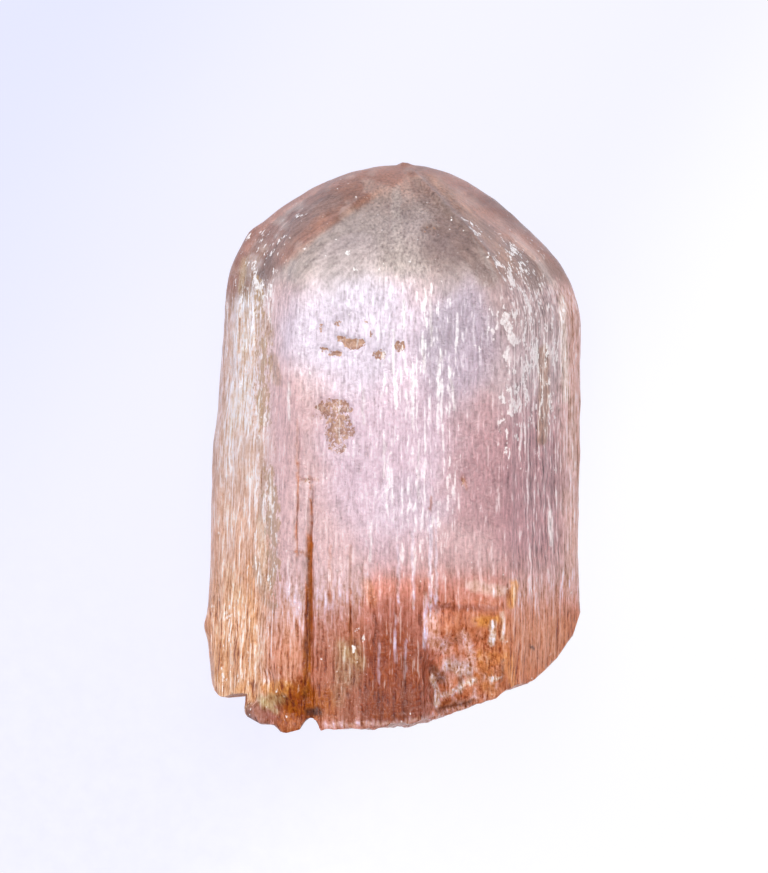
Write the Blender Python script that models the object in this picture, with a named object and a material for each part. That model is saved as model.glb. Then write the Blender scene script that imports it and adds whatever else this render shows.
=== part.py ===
"""Poudretteite: one loose crystal, lying on its flat rear prism face.

The crystal is a flattened six-sided prism. Its long axis (the c axis) runs along +Y, from the
broken base at -Y to the etched six-sided dome at +Y. +X is the viewer's right and +Z points up,
out of the broad front face. The origin is under the middle of the crystal, on its resting face.

Shapes are worked out in millimetres and written to the mesh in metres.
"""

import math

import bmesh
import bpy
import numpy as np

MM = 0.001

# Driving dimensions, in millimetres
LENGTH = 14.0           # along the c axis, from the broken base to the tip
WIDTH = 9.3             # across the two side edges of the prism
THICKNESS = 6.7         # from the resting face to the front face
REST_CUT = 0.12         # how much of the rounded rear face the flat resting face takes off

# The c axis, which every outline below is measured from
AXIS_X = 0.19
AXIS_Z = 3.40

# Prism faces: direction round the axis in degrees (0 is +X, 90 is +Z, the front), distance from
# the axis at mid-length, and lean towards the dome in degrees
PRISM_FACES = (
    ("front", 90, 3.30, 1.4),
    ("right front", 30, 3.92, 0.0),
    ("right rear", -30, 3.90, 0.0),
    ("rear", -90, 3.52, 0.5),
    ("left rear", -150, 4.10, 3.2),
    ("left front", 150, 3.93, 3.2),
)

# Dome faces: direction round the axis, height at which the face would meet the axis, and slope
# from the base plane in degrees
DOME_FACES = (
    ("front", 90, 7.30, 42),
    ("right front", 30, 7.68, 43),
    ("right rear", -30, 8.50, 45),
    ("rear", -90, 7.60, 42),
    ("left rear", -150, 7.93, 37.5),
    ("left front", 150, 7.80, 37.5),
)
TIP_HEIGHT = 7.35       # the small blunt face across the tip

# How crisply neighbouring faces meet: a higher number is a sharper edge
PRISM_CRISPNESS = 26
DOME_CRISPNESS = 40
SHOULDER_CRISPNESS = 8.3
BREAK_CRISPNESS = 40

# The lower left corner is broken off along a steep plane
CORNER_POINT = (-4.60, -4.75)
CORNER_LEAN = 9         # degrees from the c axis

# Outline of the broken base, seen from the front: ledge, lump, tab, notch, sole, oblique break
BASE_OUTLINE = (
    (-4.65, -5.20), (-4.52, -5.60), (-4.33, -6.04), (-4.15, -6.16), (-3.58, -6.22),
    (-3.50, -6.12), (-3.44, -6.70), (-3.20, -6.90), (-2.80, -6.93), (-2.76, -7.08),
    (-2.20, -7.08), (-2.16, -6.80), (-1.90, -6.70), (-1.86, -7.02), (-0.80, -6.99),
    (0.10, -6.82), (0.90, -6.62), (2.05, -6.15), (2.85, -5.88), (3.64, -5.60),
    (4.05, -5.15), (4.42, -4.60), (4.65, -3.90),
)
BASE_LEAN = 0.03        # the base climbs this much per millimetre towards the front
REAR_BREAK = (-1.8, -6.9, 2.6)      # a point where the rear left corner of the base broke away
REAR_BREAK_SLOPES = (0.45, 0.40)    # its climb towards the left and towards the rear
BASE_SHELL = 0.45       # depth of the shell-shaped hollow in the middle of the base
BASE_SHELL_REACH = (3.6, 2.6)       # its half width and half thickness
BASE_HACKLE = 0.10      # height of the rough steps on the base
HACKLE_SEED = 3
RIM_GUESS = -6.0        # where the search for the edge of the base starts
RIM_PASSES = 12

# Hollows broken out of the front face: x, y, half width, half length, depth
SPALL = (1.70, -5.75, 1.00, 1.75, 1.25)
RAGGED_HOLLOW = (-2.55, -6.60, 0.65, 1.05, 0.75)
HOLLOW_FADE = 1.5       # the hollows fade out this far in front of the axis

# Seam groove along the front face, left of the middle
SEAM_X = -2.02
SEAM_TOP = -1.30
SEAM_BOTTOM = -6.10
SEAM_WIDTH = 0.16
SEAM_DEPTH = 0.10
SEAM_TAPERS = (1.5, 0.5)    # how far its top and bottom ends take to run out

# Small lumps and steps: place on the surface (x, y, z), radius and height
LUMPS = (
    ("corner lump", (-4.62, -4.42, 3.3), 0.25, 0.09),
    ("tip lump", (0.27, 7.05, 3.4), 0.18, 0.07),
    ("shoulder ledge", (-2.95, 5.55, 3.4), 0.30, -0.10),
)

# Lengthwise ridges
RIDGES_ROUND = 64       # ridges round the whole prism
RIDGE_HEIGHT = 0.045
RIDGE_RUN = 2.6         # how far along the crystal a ridge keeps its height
RIDGE_SEED = 7
RIDGE_FADE = (3.5, 6.5)     # heights between which the ridges grow fainter over the dome
RIDGE_FADED = 0.3       # what is left of them there

# Mesh: columns run from the base to the tip, rings run round the crystal
COLUMNS = 144
FRONT_CROWDING = 0.35   # columns stand closer together on the front than on the rear
BASE_RINGS = 7
SIDE_RINGS = 16
DOME_RINGS = 10
DOME_START = 3.2        # height on the axis from which the dome rings fan out

PINK = (0.84, 0.62, 0.60, 1.0)
ROUGHNESS = 0.28
REFRACTIVE_INDEX = 1.52
TRANSMISSION = 0.8

# A ray that runs nearly along a face never meets it
GRAZING = 1e-4
FAR_AWAY = 1e3
NOISE_PERIOD = 64       # cells after which the random heights repeat


def smooth_step(low, high, value):
    """0 below low, 1 above high, and a smooth ramp between them."""
    t = np.clip((value - low) / (high - low), 0.0, 1.0)
    return t * t * (3.0 - 2.0 * t)


def lattice_noise(across, along, period, seed):
    """Smooth random heights from -1 to 1; across repeats after period cells."""
    lattice = np.random.default_rng(seed).uniform(-1.0, 1.0, (period, NOISE_PERIOD))
    cell_a = np.floor(across).astype(int)
    cell_b = np.floor(along).astype(int)
    part_a = smooth_step(0.0, 1.0, across - cell_a)
    part_b = smooth_step(0.0, 1.0, along - cell_b)

    def corner(step_a, step_b):
        return lattice[(cell_a + step_a) % period, (cell_b + step_b) % NOISE_PERIOD]

    near = corner(0, 0) * (1 - part_a) + corner(1, 0) * part_a
    far = corner(0, 1) * (1 - part_a) + corner(1, 1) * part_a
    return near * (1 - part_b) + far * part_b


def blend_reach(reaches, crispness):
    """The shortest of several reaches, with the corners between them rounded."""
    total = sum(np.power(1.0 / reach, crispness) for reach in reaches)
    return np.power(total, -1.0 / crispness)


def face_reach(normal, offset, height, ray):
    """How far a ray from the axis at this height runs before it meets a plane."""
    facing = normal[0] * ray[0] + normal[1] * ray[1] + normal[2] * ray[2]
    room = offset - normal[1] * height
    return np.where(facing > GRAZING, room / np.maximum(facing, GRAZING), FAR_AWAY)


def prism_reaches(height, ray):
    for _name, turn, distance, lean in PRISM_FACES:
        turn, lean = math.radians(turn), math.radians(lean)
        normal = (math.cos(turn) * math.cos(lean), math.sin(lean), math.sin(turn) * math.cos(lean))
        yield face_reach(normal, distance * math.cos(lean), height, ray)


def dome_reaches(height, ray):
    for _name, turn, meets_axis, slope in DOME_FACES:
        turn, slope = math.radians(turn), math.radians(slope)
        normal = (math.cos(turn) * math.sin(slope), math.cos(slope), math.sin(turn) * math.sin(slope))
        yield face_reach(normal, meets_axis * math.cos(slope), height, ray)


def corner_reach(height, ray):
    lean = math.radians(CORNER_LEAN)
    normal = (-math.cos(lean), -math.sin(lean), 0.0)
    offset = normal[0] * (CORNER_POINT[0] - AXIS_X) + normal[1] * CORNER_POINT[1]
    return face_reach(normal, offset, height, ray)


def crystal_reach(height, ray):
    """Distance from the axis to the grown faces and the broken corner."""
    prism = blend_reach(prism_reaches(height, ray), PRISM_CRISPNESS)
    dome = blend_reach(dome_reaches(height, ray), DOME_CRISPNESS)
    tip = face_reach((0.0, 1.0, 0.0), TIP_HEIGHT, height, ray)
    grown = blend_reach((prism, dome, tip), SHOULDER_CRISPNESS)
    return blend_reach((grown, corner_reach(height, ray)), BREAK_CRISPNESS)


def surface_point(turn, height, rise):
    """Point where a ray from the axis leaves the crystal. Rise is its angle above level."""
    ray = (np.cos(turn) * np.cos(rise), np.sin(rise), np.sin(turn) * np.cos(rise))
    reach = crystal_reach(height, ray)
    return np.stack([AXIS_X + reach * ray[0], height + reach * ray[1], AXIS_Z + reach * ray[2]], -1)


def base_height(x, z):
    """Height of the broken base under the point (x, z)."""
    outline = np.array(BASE_OUTLINE)
    front = np.interp(x, outline[:, 0], outline[:, 1]) + BASE_LEAN * (z - AXIS_Z)
    break_x, break_y, break_z = REAR_BREAK
    rear = break_y + REAR_BREAK_SLOPES[0] * (break_x - x) + REAR_BREAK_SLOPES[1] * (break_z - z)
    half_width, half_thickness = BASE_SHELL_REACH
    spread = ((x - AXIS_X) / half_width) ** 2 + ((z - AXIS_Z) / half_thickness) ** 2
    shell = BASE_SHELL * np.clip(1.0 - spread, 0.0, 1.0)
    hackle = BASE_HACKLE * np.abs(lattice_noise(x, z, NOISE_PERIOD, HACKLE_SEED))
    return np.maximum(front, rear) + shell + hackle


def ridge_relief(turn, height):
    """Height of the lengthwise ridges, which fade out over the dome."""
    across = turn / (2 * math.pi) * RIDGES_ROUND
    ridges = lattice_noise(across, height / RIDGE_RUN, RIDGES_ROUND, RIDGE_SEED)
    return RIDGE_HEIGHT * ridges * (1.0 - (1.0 - RIDGE_FADED) * smooth_step(*RIDGE_FADE, height))


def hollow_depth(points, hollow):
    """Depth of a scoop in the front face, deepest at its lower end."""
    x, y, half_width, half_length, depth = hollow
    across = np.clip(1.0 - ((points[:, 0] - x) / half_width) ** 2, 0.0, 1.0)
    along = np.clip((y + half_length - points[:, 1]) / (2 * half_length), 0.0, 1.0)
    front = smooth_step(AXIS_Z, AXIS_Z + HOLLOW_FADE, points[:, 2])
    return depth * np.sqrt(across) * along * front


def seam_depth(points):
    top_taper, bottom_taper = SEAM_TAPERS
    near = np.exp(-((points[:, 0] - SEAM_X) / SEAM_WIDTH) ** 2)
    run = smooth_step(SEAM_BOTTOM - bottom_taper, SEAM_BOTTOM, points[:, 1])
    run = run * (1.0 - smooth_step(SEAM_TOP - top_taper, SEAM_TOP, points[:, 1]))
    return SEAM_DEPTH * near * run * (points[:, 2] > AXIS_Z)


def lump_height(points):
    total = np.zeros(len(points))
    for _name, centre, radius, height in LUMPS:
        distance = np.linalg.norm(points - np.array(centre), axis=1)
        total += height * np.exp(-(distance / radius) ** 2)
    return total


def carve(points, turn, heights):
    """Move points of the grown surface in or out along their rays for relief and damage."""
    origin = np.stack([np.full_like(heights, AXIS_X), heights, np.full_like(heights, AXIS_Z)], -1)
    ray = points - origin
    ray /= np.linalg.norm(ray, axis=1)[:, None]
    push = ridge_relief(turn, points[:, 1]) + lump_height(points) - seam_depth(points)
    push -= hollow_depth(points, SPALL) + hollow_depth(points, RAGGED_HOLLOW)
    return points + ray * push[:, None]


def rim_height(turn):
    """Height at which each column meets the broken base."""
    height = np.full_like(turn, RIM_GUESS)
    for _ in range(RIM_PASSES):
        points = carve(surface_point(turn, height, np.zeros_like(turn)), turn, height)
        height = base_height(points[:, 0], points[:, 2])
    return height


def shape_crystal(ring, turn):
    """Points of the crystal for each ring number, counted from the base, and turn round the axis."""
    rim = rim_height(turn)

    along = np.clip((ring - BASE_RINGS) / SIDE_RINGS, 0.0, 1.0)
    heights = rim + (DOME_START - rim) * along
    rise = np.clip((ring - BASE_RINGS - SIDE_RINGS) / DOME_RINGS, 0.0, 1.0) * math.pi / 2
    points = carve(surface_point(turn, heights, rise), turn, heights)

    inward = np.clip(ring / BASE_RINGS, 0.0, 1.0)
    on_base = ring < BASE_RINGS
    base_x = AXIS_X + (points[:, 0] - AXIS_X) * inward
    base_z = AXIS_Z + (points[:, 2] - AXIS_Z) * inward
    base = np.stack([base_x, base_height(base_x, base_z), base_z], -1)
    return np.where(on_base[:, None], base, points)


def fit_to_size(points):
    """Scale and move the points so that the crystal has its driving dimensions."""
    low, high = points.min(axis=0), points.max(axis=0)
    scale = np.array([WIDTH, LENGTH, THICKNESS + REST_CUT]) / (high - low)
    middle = (low + high) / 2
    fitted = (points - middle) * scale
    fitted[:, 2] += (THICKNESS - REST_CUT) / 2
    return fitted


def cut_resting_face(bm):
    """Take the rounded rear face off at z = 0 and close the cut with one flat face."""
    geometry = bm.verts[:] + bm.edges[:] + bm.faces[:]
    cut = bmesh.ops.bisect_plane(
        bm, geom=geometry, dist=0.01 * MM, plane_co=(0, 0, 0), plane_no=(0, 0, 1), clear_inner=True)
    rim = [item for item in cut["geom_cut"] if isinstance(item, bmesh.types.BMEdge)]
    bmesh.ops.contextual_create(bm, geom=rim)


def crystal_material():
    material = bpy.data.materials.new("pink_crystal")
    material.use_nodes = True
    shader = material.node_tree.nodes["Principled BSDF"]
    shader.inputs["Base Color"].default_value = PINK
    shader.inputs["Metallic"].default_value = 0.0
    shader.inputs["Roughness"].default_value = ROUGHNESS
    shader.inputs["IOR"].default_value = REFRACTIVE_INDEX
    shader.inputs["Transmission Weight"].default_value = TRANSMISSION
    return material


def make_crystal(collection):
    """A sphere with its poles on the c axis, drawn out to the crystal's shape."""
    rings = BASE_RINGS + SIDE_RINGS + DOME_RINGS
    bm = bmesh.new()
    bmesh.ops.create_uvsphere(bm, u_segments=COLUMNS, v_segments=rings, radius=1.0)

    sphere = np.array([vert.co[:] for vert in bm.verts])
    latitude = np.arcsin(np.clip(sphere[:, 2], -1.0, 1.0))
    ring = np.rint((latitude / math.pi + 0.5) * rings)
    turn = np.arctan2(-sphere[:, 1], sphere[:, 0])
    turn = turn + FRONT_CROWDING * np.cos(turn)
    for vert, point in zip(bm.verts, fit_to_size(shape_crystal(ring, turn))):
        vert.co = point * MM

    cut_resting_face(bm)
    bmesh.ops.recalc_face_normals(bm, faces=bm.faces)

    mesh = bpy.data.meshes.new("crystal")
    bm.to_mesh(mesh)
    bm.free()
    mesh.materials.append(crystal_material())
    crystal = bpy.data.objects.new("crystal", mesh)
    collection.objects.link(crystal)
    return crystal


def main():
    for thing in list(bpy.data.objects):
        bpy.data.objects.remove(thing, do_unlink=True)
    collection = bpy.data.collections.new("poudretteite")
    bpy.context.scene.collection.children.link(collection)
    make_crystal(collection)


main()
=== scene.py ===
# A poudretteite crystal lying on its rear face on a pale lit sheet, seen from straight above
import math

import bmesh
import bpy
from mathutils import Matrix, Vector
import numpy as np


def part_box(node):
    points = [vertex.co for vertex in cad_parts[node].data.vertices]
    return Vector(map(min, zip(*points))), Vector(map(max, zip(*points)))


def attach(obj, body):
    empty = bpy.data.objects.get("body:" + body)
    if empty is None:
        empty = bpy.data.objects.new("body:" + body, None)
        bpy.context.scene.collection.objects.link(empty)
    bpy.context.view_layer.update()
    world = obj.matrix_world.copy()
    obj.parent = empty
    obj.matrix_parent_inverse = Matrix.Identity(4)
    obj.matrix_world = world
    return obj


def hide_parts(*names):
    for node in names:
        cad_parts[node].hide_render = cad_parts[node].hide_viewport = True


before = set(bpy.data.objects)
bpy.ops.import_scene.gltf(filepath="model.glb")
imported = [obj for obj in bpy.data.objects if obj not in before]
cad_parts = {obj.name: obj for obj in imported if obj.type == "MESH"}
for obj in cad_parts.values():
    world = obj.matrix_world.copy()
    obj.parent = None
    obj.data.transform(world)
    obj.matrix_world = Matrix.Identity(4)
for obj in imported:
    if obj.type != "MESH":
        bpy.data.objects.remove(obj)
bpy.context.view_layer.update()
mm = 0.001

print("frame loaded")

# Lengths are in millimetres and angles in degrees unless a note says otherwise.
# Prism faces are (turn round the axis, distance, lean towards the dome); dome faces are
# (turn round the axis, height where the face meets the axis, slope from the base plane).
crystalForm = {
    "axisX": 0.19,
    "axisZ": 3.4,
    "restCut": 0.12,
    "prismFaces": (
        (90, 3.3, 1.4), (30, 3.92, 0.0), (-30, 3.9, 0.0),
        (-90, 3.52, 0.5), (-150, 4.1, 3.2), (150, 3.93, 3.2),
    ),
    "domeFaces": (
        (90, 7.6, 42), (30, 7.98, 43), (-30, 8.8, 45),
        (-90, 7.9, 42), (-150, 8.23, 37.5), (150, 8.1, 37.5),
    ),
    "tipHeight": 7.35,
    "ends": (-7.0, 7.25),  # base and tip of the form, before it is fitted to the node
    "prismCrispness": 26,  # a higher number is a sharper edge
    "domeCrispness": 40,
    "shoulderCrispness": 9.5,
    "breakCrispness": 40,
    "cornerPoint": (-4.6, -4.75),
    "cornerLean": 9,
    "columns": 480,
    "frontCrowding": 0.45,  # columns stand closer on the front than on the rear
    "baseRings": 24,
    "sideRings": 136,
    "domeRings": 48,
    "domeStart": 3.2,
    "rimGuess": -6.0,  # where the search for the base's rim starts
    "rimRounds": 16,
    "sharpAngle": 50,
    "seamMerge": 0.0001,
    "smallestEdge": 0.00001,
}

brokenBase = {
    "outline": (
        (-4.65, -5.2), (-4.52, -5.6), (-4.33, -6.04), (-4.18, -6.18), (-3.8, -6.21),
        (-3.46, -6.12), (-3.4, -6.16), (-3.37, -6.72), (-3.2, -6.86), (-2.82, -6.9),
        (-2.76, -6.94), (-2.71, -7.08), (-2.24, -7.07), (-2.19, -6.9), (-2.13, -6.84),
        (-2.1, -6.86), (-2.07, -6.76), (-1.8, -6.76), (-1.77, -6.94), (-1.73, -7.03),
        (-0.8, -7.05), (0.1, -6.93), (1.05, -6.74), (1.8, -6.48), (1.92, -6.42),
        (2.5, -6.22), (2.6, -6.12), (3.45, -5.76), (3.55, -5.64), (3.7, -5.58),
        (4.1, -5.12), (4.42, -4.7), (4.65, -3.9),
    ),
    # the lump at the lower left hangs over a slit: x, top, middle, bottom, reach, shift to the left
    "overhang": (-3.35, -6.17, -6.45, -6.85, 0.35, 0.22),
    "lean": 0.03,
    "rearBreak": (-1.8, -6.9, 2.6),
    "rearSlopes": (0.45, 0.4),
    "shell": 0.45,
    "shellReach": (3.6, 2.6),
    "scallops": 0.45,  # depth of the shell-like hollows in the base
    "scallopsPerMm": 0.55,
    "hackle": 0.1,
    "fringe": 0.03,  # ragged fibres along the edge of the base
}

damage = {
    # hollows broken out of the front: x, y, half width, half length, depth
    "spall": (1.7, -5.75, 1.0, 1.75, 1.25),
    "raggedHollow": (-2.55, -6.6, 0.65, 1.05, 0.75),
    "hollowFade": 1.5,
    "hollowRagged": 0.12,
    # grooves along the front face, narrower at the top: x at the top and at the bottom, top,
    # bottom, width, depth
    "grooves": (
        (-1.93, -2.09, -0.75, -6.1, 0.085, 0.16),
        (-2.24, -2.3, 0.9, -2.5, 0.028, 0.05),
        (-1.02, -1.03, -3.3, -5.0, 0.028, 0.05),
        (-1.48, -1.48, -3.2, -4.0, 0.024, 0.03),
        (0.95, 0.93, -0.95, -1.7, 0.028, 0.05),
        (-2.28, -2.3, -2.6, -3.2, 0.035, 0.04),
    ),
    "grooveWander": (0.02, 0.012),
    "grooveTaper": (3.2, 0.75), # how far below its top a groove narrows, and by what share
    # pits etched into the front face: x, y, half width, half height, depth
    "pits": (
        (-1.2, 2.62, 0.2, 0.08, 0.07), (-0.9, 2.5, 0.28, 0.12, 0.08),
        (-1.66, 2.36, 0.16, 0.07, 0.06), (-1.38, 2.25, 0.17, 0.08, 0.065),
        (-0.3, 2.22, 0.16, 0.12, 0.07), (0.18, 2.41, 0.11, 0.16, 0.07),
        (-1.36, 2.99, 0.16, 0.05, 0.055), (-1.7, 2.88, 0.07, 0.12, 0.055),
        (-0.63, 3.04, 0.05, 0.09, 0.055), (-0.52, 2.72, 0.06, 0.09, 0.055),
        (-1.34, 0.86, 0.52, 0.34, 0.06), (-1.27, 0.4, 0.34, 0.34, 0.06),
        (-1.32, -0.02, 0.25, 0.24, 0.05), (1.7, -0.88, 0.08, 0.15, 0.05),
        (0.93, 5.28, 0.22, 0.1, 0.03), (-2.1, -0.85, 0.22, 0.08, 0.04),
    ),
    "pitEdge": (1.15, 0.75),
    "pitRagged": 0.35,
    # small lumps and steps: place on the surface, radius, height
    "lumps": (
        ((-4.62, -4.42, 3.3), 0.25, 0.09),
        ((0.3, 7.18, 3.25), 0.14, 0.09),
        ((-3.3, 5.4, 3.3), 0.25, 0.1),
    ),
    # crests on the dome: height, half width, then x and y of each point along it
    "crests": (
        (0.07, 0.09, 0.45, 6.75, 1.2, 5.95, 1.7, 5.45, 2.2, 4.8, 2.65, 3.95),
        (0.04, 0.08, 2.75, 5.25, 3.35, 4.75, 3.75, 4.1),
        (0.03, 0.1, -0.2, 6.35, -1.0, 5.85, -1.6, 5.4, -2.6, 4.5),
    ),
    "shellChips": 0.16,  # how deep the shell-like chips inside the hollows are
    "frontFade": (1.0, 1.8),  # heights over the axis between which pits and grooves set in
    "crestFade": 0.5,
}

# Growth ridges: how many go round the crystal, height, run along the crystal, random seed
growthRidges = (
    (64, 0.04, 2.6, 7),
    (190, 0.014, 1.4, 11),
    (430, 0.008, 0.8, 13),
)
ridgeFade = (2.6, 4.8, 0.12)    # they fade between these heights, to this share
# Unevenness from etching: cells per millimetre across and along, height, random seed
etching = (
    (1.1, 0.9, 0.03, 51),
    (3.2, 2.4, 0.012, 52),
    (8.0, 5.0, 0.006, 53),
)
noisePeriod = 64


def addObject(name, data):
    made = bpy.data.objects.new(name, data)
    bpy.context.scene.collection.objects.link(made)
    return made


def smoothStep(low, high, value):
    # from 0 at low to 1 at high, which may be the smaller of the two
    t = np.clip((value - low) / (high - low), 0.0, 1.0)
    return t * t * (3.0 - 2.0 * t)


def latticeNoise(across, along, seed, period=noisePeriod):
    # smooth random heights from -1 to 1; across repeats after period cells
    lattice = np.random.default_rng(seed).uniform(-1.0, 1.0, (period, noisePeriod))
    cellA = np.floor(across).astype(int)
    cellB = np.floor(along).astype(int)
    partA = smoothStep(0.0, 1.0, across - cellA)
    partB = smoothStep(0.0, 1.0, along - cellB)

    def corner(stepA, stepB):
        return lattice[(cellA + stepA) % period, (cellB + stepB) % noisePeriod]

    near = corner(0, 0) * (1 - partA) + corner(1, 0) * partA
    far = corner(0, 1) * (1 - partA) + corner(1, 1) * partA
    return near * (1 - partB) + far * partB


def fractalNoise(across, along, seed):
    # three sizes of smooth noise together, from about -1 to 1
    total = latticeNoise(across, along, seed) + 0.5 * latticeNoise(across * 2.1, along * 2.1, seed + 1)
    return total + 0.25 * latticeNoise(across * 4.3, along * 4.3, seed + 2)


def shellNoise(across, along, seed):
    # rounded shells that meet in sharp creases: 0 in the middle of a shell, about 1 at its edge
    random = np.random.default_rng(seed).uniform(0.0, 1.0, (noisePeriod, noisePeriod, 2))
    cellA = np.floor(across).astype(int)
    cellB = np.floor(along).astype(int)
    nearest = np.full_like(across, 9.0)
    for stepA in (-1, 0, 1):
        for stepB in (-1, 0, 1):
            spot = random[(cellA + stepA) % noisePeriod, (cellB + stepB) % noisePeriod]
            away = np.hypot(cellA + stepA + spot[:, 0] - across, cellB + stepB + spot[:, 1] - along)
            nearest = np.minimum(nearest, away)
    return nearest


def blendReach(reaches, crispness):
    # the shortest reach, with the corners between faces rounded
    total = sum(np.power(1.0 / reach, crispness) for reach in reaches)
    return np.power(total, -1.0 / crispness)


def faceReach(normal, offset, height, ray):
    facing = normal[0] * ray[0] + normal[1] * ray[1] + normal[2] * ray[2]
    room = offset - normal[1] * height
    return np.where(facing > 1e-4, room / np.maximum(facing, 1e-4), 1e3)


def prismReaches(height, ray):
    for turn, distance, lean in crystalForm["prismFaces"]:
        turn, lean = math.radians(turn), math.radians(lean)
        normal = (math.cos(turn) * math.cos(lean), math.sin(lean), math.sin(turn) * math.cos(lean))
        yield faceReach(normal, distance * math.cos(lean), height, ray)


def domeReaches(height, ray):
    for turn, meetsAxis, slope in crystalForm["domeFaces"]:
        turn, slope = math.radians(turn), math.radians(slope)
        normal = (math.cos(turn) * math.sin(slope), math.cos(slope), math.sin(turn) * math.sin(slope))
        yield faceReach(normal, meetsAxis * math.cos(slope), height, ray)


def crystalReach(height, ray):
    form = crystalForm
    prism = blendReach(prismReaches(height, ray), form["prismCrispness"])
    dome = blendReach(domeReaches(height, ray), form["domeCrispness"])
    tip = faceReach((0.0, 1.0, 0.0), form["tipHeight"], height, ray)
    grown = blendReach((prism, dome, tip), form["shoulderCrispness"])
    lean = math.radians(form["cornerLean"])
    normal = (-math.cos(lean), -math.sin(lean), 0.0)
    cornerX, cornerY = form["cornerPoint"]
    offset = normal[0] * (cornerX - form["axisX"]) + normal[1] * cornerY
    corner = faceReach(normal, offset, height, ray)
    return blendReach((grown, corner), form["breakCrispness"])


def surfacePoint(turn, height, rise):
    ray = (np.cos(turn) * np.cos(rise), np.sin(rise), np.sin(turn) * np.cos(rise))
    reach = crystalReach(height, ray)
    x = crystalForm["axisX"] + reach * ray[0]
    z = crystalForm["axisZ"] + reach * ray[2]
    return np.stack([x, height + reach * ray[1], z], -1)


def baseShells(x, z):
    cells = brokenBase["scallopsPerMm"]
    return shellNoise(x * cells, z * cells + 3, 27)


def baseHeight(x, z):
    base = brokenBase
    axisX, axisZ = crystalForm["axisX"], crystalForm["axisZ"]
    outline = np.array(base["outline"])
    front = np.interp(x, outline[:, 0], outline[:, 1]) + base["lean"] * (z - axisZ)
    breakX, breakY, breakZ = base["rearBreak"]
    slopeX, slopeZ = base["rearSlopes"]
    rear = breakY + slopeX * (breakX - x) + slopeZ * (breakZ - z)
    halfWidth, halfThickness = base["shellReach"]
    spread = ((x - axisX) / halfWidth) ** 2 + ((z - axisZ) / halfThickness) ** 2
    inner = np.clip(1.0 - spread, 0.0, 1.0)
    shell = base["shell"] * inner
    shell -= base["scallops"] * (baseShells(x, z) - 0.4) * smoothStep(0.0, 0.35, inner)
    hackle = base["hackle"] * np.abs(latticeNoise(x, z, 3))
    fringe = base["fringe"] * latticeNoise(x * 7, z * 2, 5)
    grain = 0.4 * base["fringe"] * latticeNoise(x * 17, z * 11, 6)
    return np.maximum(front, rear) + shell + hackle + fringe + grain


def ridgeRelief(turn, height):
    total = np.zeros_like(turn)
    for count, tall, run, seed in growthRidges:
        total += tall * latticeNoise(turn / (2 * math.pi) * count, height / run, seed, count)
    fadeStart, fadeEnd, share = ridgeFade
    return total * (1.0 - (1.0 - share) * smoothStep(fadeStart, fadeEnd, height))


def unevenness(points):
    x, y, z = points.T
    slant = x + 0.7 * z
    return sum(height * latticeNoise(slant * across, y * along, seed)
               for across, along, height, seed in etching)


def nearLine(x, y, halfWidth, line):
    # 1 on a line through points on the front, given as x, y, x, y and so on; 0 further off
    near = np.zeros_like(x)
    for startX, startY, endX, endY in zip(line[::2], line[1::2], line[2::2], line[3::2]):
        runX, runY = endX - startX, endY - startY
        share = np.clip(((x - startX) * runX + (y - startY) * runY) / (runX ** 2 + runY ** 2), 0.0, 1.0)
        away = np.hypot(x - startX - share * runX, y - startY - share * runY)
        near = np.maximum(near, np.exp(-(away / halfWidth) ** 2))
    return near


def overAxis(points, start, end):
    # 0 up to one height over the c axis, 1 from the other on
    axisZ = crystalForm["axisZ"]
    return smoothStep(axisZ + start, axisZ + end, points[:, 2])


def crestHeight(points):
    total = np.zeros(len(points))
    for height, halfWidth, *line in damage["crests"]:
        total += height * nearLine(points[:, 0], points[:, 1], halfWidth, line)
    return total * overAxis(points, 0.0, damage["crestFade"])


def hollowInside(points, hollow):
    # 0 outside a hollow, rising to 1 at its lower end
    x, y, z = points.T
    middleX, middleY, halfWidth, halfLength = hollow[:4]
    ragged = damage["hollowRagged"] * latticeNoise(x * 3, y * 2, 21)
    across = np.clip(1.0 - ((x - middleX) / halfWidth + ragged) ** 2, 0.0, 1.0)
    along = np.clip((middleY + halfLength - y) / (2 * halfLength) + ragged, 0.0, 1.0)
    return np.sqrt(across) * along * overAxis(points, 0.0, damage["hollowFade"])


def hollowDepth(points, hollow):
    x, y, z = points.T
    inside = hollowInside(points, hollow)
    chips = 0.6 - shellNoise(x * 3.2, y * 2.2, 23) + 0.4 * (0.6 - shellNoise(x * 8, y * 5, 24))
    return hollow[4] * inside + damage["shellChips"] * chips * smoothStep(0.0, 0.3, inside)


def grooveDepth(points):
    x, y, z = points.T
    total = np.zeros(len(points))
    slowWander, quickWander = damage["grooveWander"]
    narrowing, narrowed = damage["grooveTaper"]
    for topX, bottomX, top, bottom, width, depth in damage["grooves"]:
        place = np.full(len(points), topX + 0.5)
        wander = slowWander * latticeNoise(place, y * 1.1, 31)
        wander += quickWander * latticeNoise(place, y * 5, 32)
        middle = topX + (bottomX - topX) * np.clip((top - y) / (top - bottom), 0.0, 1.0)
        taper = 1.0 - narrowed * smoothStep(top - narrowing, top, y)
        near = np.exp(-((x - middle - wander) / (width * taper)) ** 2)
        run = smoothStep(bottom - 0.4, bottom, y) * smoothStep(top, top - 0.8, y)
        total += depth * near * run
    return total * overAxis(points, *damage["frontFade"])


def pitDepth(points):
    x, y, z = points.T
    total = np.zeros(len(points))
    ragged = damage["pitRagged"] * fractalNoise(x * 4, y * 4, 33)
    for middleX, middleY, halfWidth, halfHeight, depth in damage["pits"]:
        away = np.hypot((x - middleX) / halfWidth, (y - middleY) / halfHeight)
        total = np.maximum(total, depth * smoothStep(*damage["pitEdge"], away + ragged))
    return total * overAxis(points, *damage["frontFade"])


def lumpHeight(points):
    total = np.zeros(len(points))
    for centre, radius, height in damage["lumps"]:
        distance = np.linalg.norm(points - np.array(centre), axis=1)
        total += height * np.exp(-(distance / radius) ** 2)
    return total


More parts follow.
